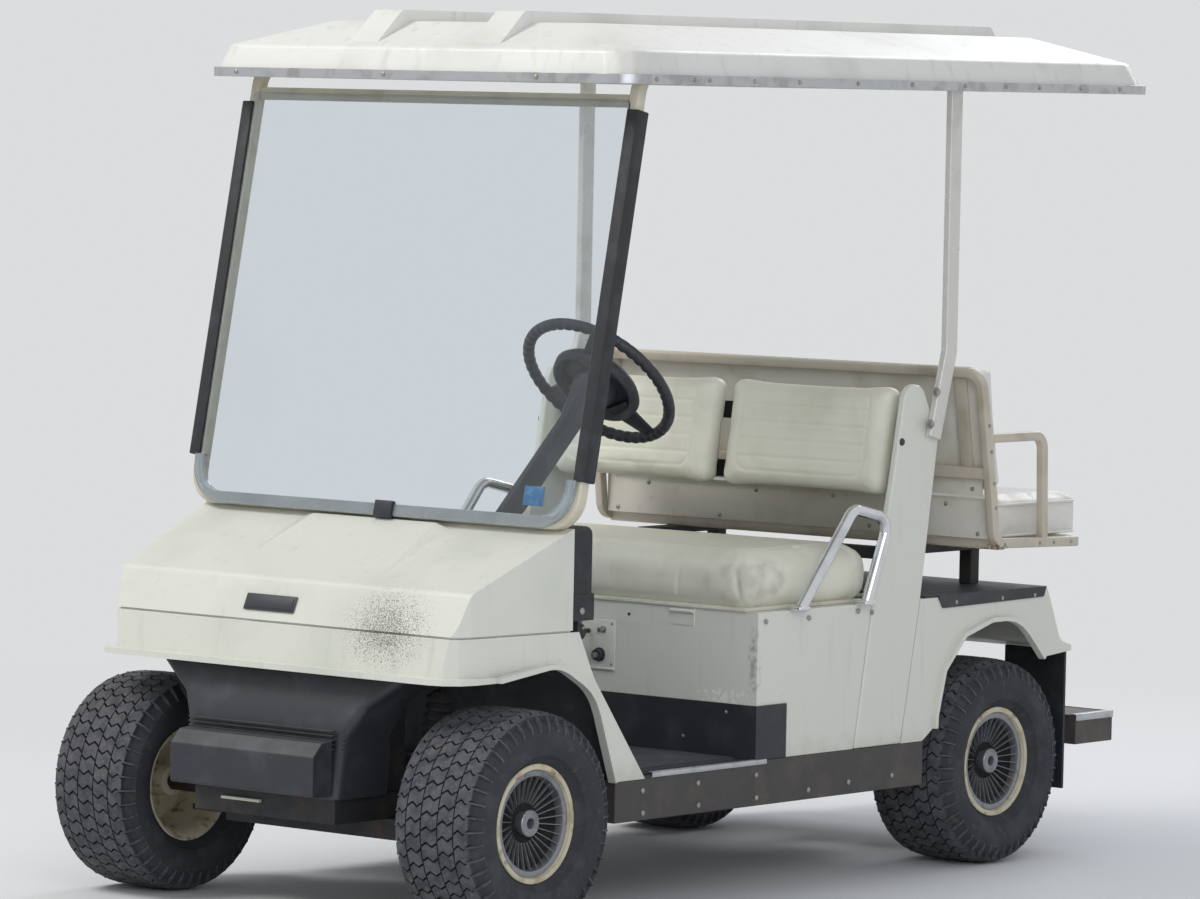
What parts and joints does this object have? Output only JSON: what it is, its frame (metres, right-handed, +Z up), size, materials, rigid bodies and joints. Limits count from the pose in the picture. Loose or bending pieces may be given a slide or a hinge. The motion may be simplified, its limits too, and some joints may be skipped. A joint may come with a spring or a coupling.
{
  "type": "golf cart with rear-facing second seat",
  "caption": "Small four-wheeled golf cart with a canopy, clear windscreen, front bench over the engine and a rear-facing seat behind it.",
  "frame": {"origin": "on the ground under the middle of the cart's overall length and width", "axes": "+Z up, -Y towards the front of the cart, +X towards its left side, where the driver sits"},
  "size_m": [1.162, 2.407, 1.835],
  "materials": {
    "tyre_rubber": "worn matt rubber with turf tread",
    "rim_enamel": "aged cream enamel with rust at the edges",
    "hub_cover_plastic": "silver-painted plastic over a dark ground",
    "axle_steel": "dull steel",
    "chassis_paint": "satin black",
    "boot_rubber": "ribbed matt rubber",
    "engine_alloy": "cast",
    "body_plastic": "aged cream-white moulding, satin",
    "dark_rubber": "matt rubber",
    "dark_plastic": "weathered moulded plastic",
    "floor_mat": "ribbed mat",
    "sill_paint": "weathered satin paint",
    "cream_paint": "cream enamel",
    "clear_sheet": "clear sheet, hazed and scratched",
    "canopy_plastic": "white moulding, satin",
    "aluminium_strip": "mill finish",
    "cream_vinyl": "grained vinyl, stitched",
    "chrome": "polished",
    "seat_frame_paint": "beige enamel with rust",
    "white_vinyl": "grained vinyl, piped"
  },
  "bodies": {
    "cart": {"backrest_frame": "chassis_paint", "backrests": "cream_vinyl", "bumper": "dark_plastic", "canopy": "canopy_plastic", "canopy_rails": "cream_paint", "canopy_strip": "aluminium_strip", "chassis_frame": "chassis_paint", "cowl_band": "dark_rubber", "cowl_lower": "body_plastic", "dash": "dark_plastic", "deck_cover": "dark_plastic", "engine": "engine_alloy", "floor_pan": "floor_mat", "front_hoop": "cream_paint", "front_suspension": "chassis_paint", "hip_rails": "chrome", "hood": "body_plastic", "mud_flaps": "dark_rubber", "nose_apron": "dark_plastic", "pedals": "axle_steel", "pillars": "body_plastic", "rear_axle": "axle_steel", "rear_backrest": "white_vinyl", "rear_body": "body_plastic", "rear_cushion": "white_vinyl", "rear_posts": "cream_paint", "rear_seat_frame": "seat_frame_paint", "rear_seat_stand": "chassis_paint", "rear_step": "sill_paint", "scuff_strip": "dark_plastic", "seat_base": "body_plastic", "sills": "sill_paint", "spring_towers": "chassis_paint", "springs": "boot_rubber", "steering_column": "dark_plastic", "switch_panel": "dark_plastic", "toe_board": "floor_mat", "windscreen": "clear_sheet", "windscreen_strips": "dark_rubber"},
    "knuckle_left": {"knuckle_left": "axle_steel"},
    "knuckle_right": {"knuckle_right": "axle_steel"},
    "front_wheel_left": {"tyre_front_left": "tyre_rubber", "rim_front_left": "rim_enamel", "hub_cover_front_left": "hub_cover_plastic"},
    "front_wheel_right": {"tyre_front_right": "tyre_rubber", "rim_front_right": "rim_enamel", "hub_cover_front_right": "hub_cover_plastic"},
    "rear_wheel_left": {"tyre_rear_left": "tyre_rubber", "rim_rear_left": "rim_enamel", "hub_cover_rear_left": "hub_cover_plastic"},
    "rear_wheel_right": {"tyre_rear_right": "tyre_rubber", "rim_rear_right": "rim_enamel", "hub_cover_rear_right": "hub_cover_plastic"},
    "track_rod": {"tie_rod": "axle_steel"},
    "steering_wheel": {"steering_wheel": "dark_plastic"},
    "front_seat": {"front_cushion": "cream_vinyl"}
  },
  "joints": [
    {"name": "steer_left", "type": "hinge", "parent": "cart", "child": "knuckle_left", "pos_m": [0.335, -0.9415, 0.225], "axis": [0, 0, 1], "range_deg": [-30, 30]},
    {"name": "steer_right", "type": "hinge", "parent": "cart", "child": "knuckle_right", "pos_m": [-0.335, -0.9415, 0.225], "axis": [0, 0, 1], "range_deg": [-30, 30]},
    {"name": "track_rod_pivot", "type": "hinge", "parent": "knuckle_left", "child": "track_rod", "pos_m": [0.335, -0.8265, 0.167], "axis": [0, 0, 1], "range_deg": [-30, 30]},
    {"name": "steering_wheel_turn", "type": "hinge", "parent": "cart", "child": "steering_wheel", "pos_m": [0.25, -0.4015, 1.075], "axis": [0, 0.729, 0.6845], "range_deg": [-300, 300]},
    {"name": "front_wheel_left_spin", "type": "hinge", "parent": "knuckle_left", "child": "front_wheel_left", "pos_m": [0.467, -0.9415, 0.225], "axis": [1, 0, 0], "continuous": true},
    {"name": "front_wheel_right_spin", "type": "hinge", "parent": "knuckle_right", "child": "front_wheel_right", "pos_m": [-0.467, -0.9415, 0.225], "axis": [1, 0, 0], "continuous": true},
    {"name": "rear_wheel_left_spin", "type": "hinge", "parent": "cart", "child": "rear_wheel_left", "pos_m": [0.409, 0.6985, 0.225], "axis": [1, 0, 0], "continuous": true},
    {"name": "rear_wheel_right_spin", "type": "hinge", "parent": "cart", "child": "rear_wheel_right", "pos_m": [-0.409, 0.6985, 0.225], "axis": [1, 0, 0], "continuous": true},
    {"name": "front_seat_tilt", "type": "hinge", "parent": "cart", "child": "front_seat", "pos_m": [0, -0.1725, 0.59], "axis": [1, 0, 0], "range_deg": [0, 70]}
  ],
  "couplings": [
    {"joint": "steer_right", "follows": "steer_left", "ratio": 1},
    {"joint": "track_rod_pivot", "follows": "steer_left", "ratio": -1},
    {"joint": "steering_wheel_turn", "follows": "steer_left", "ratio": 10}
  ]
}
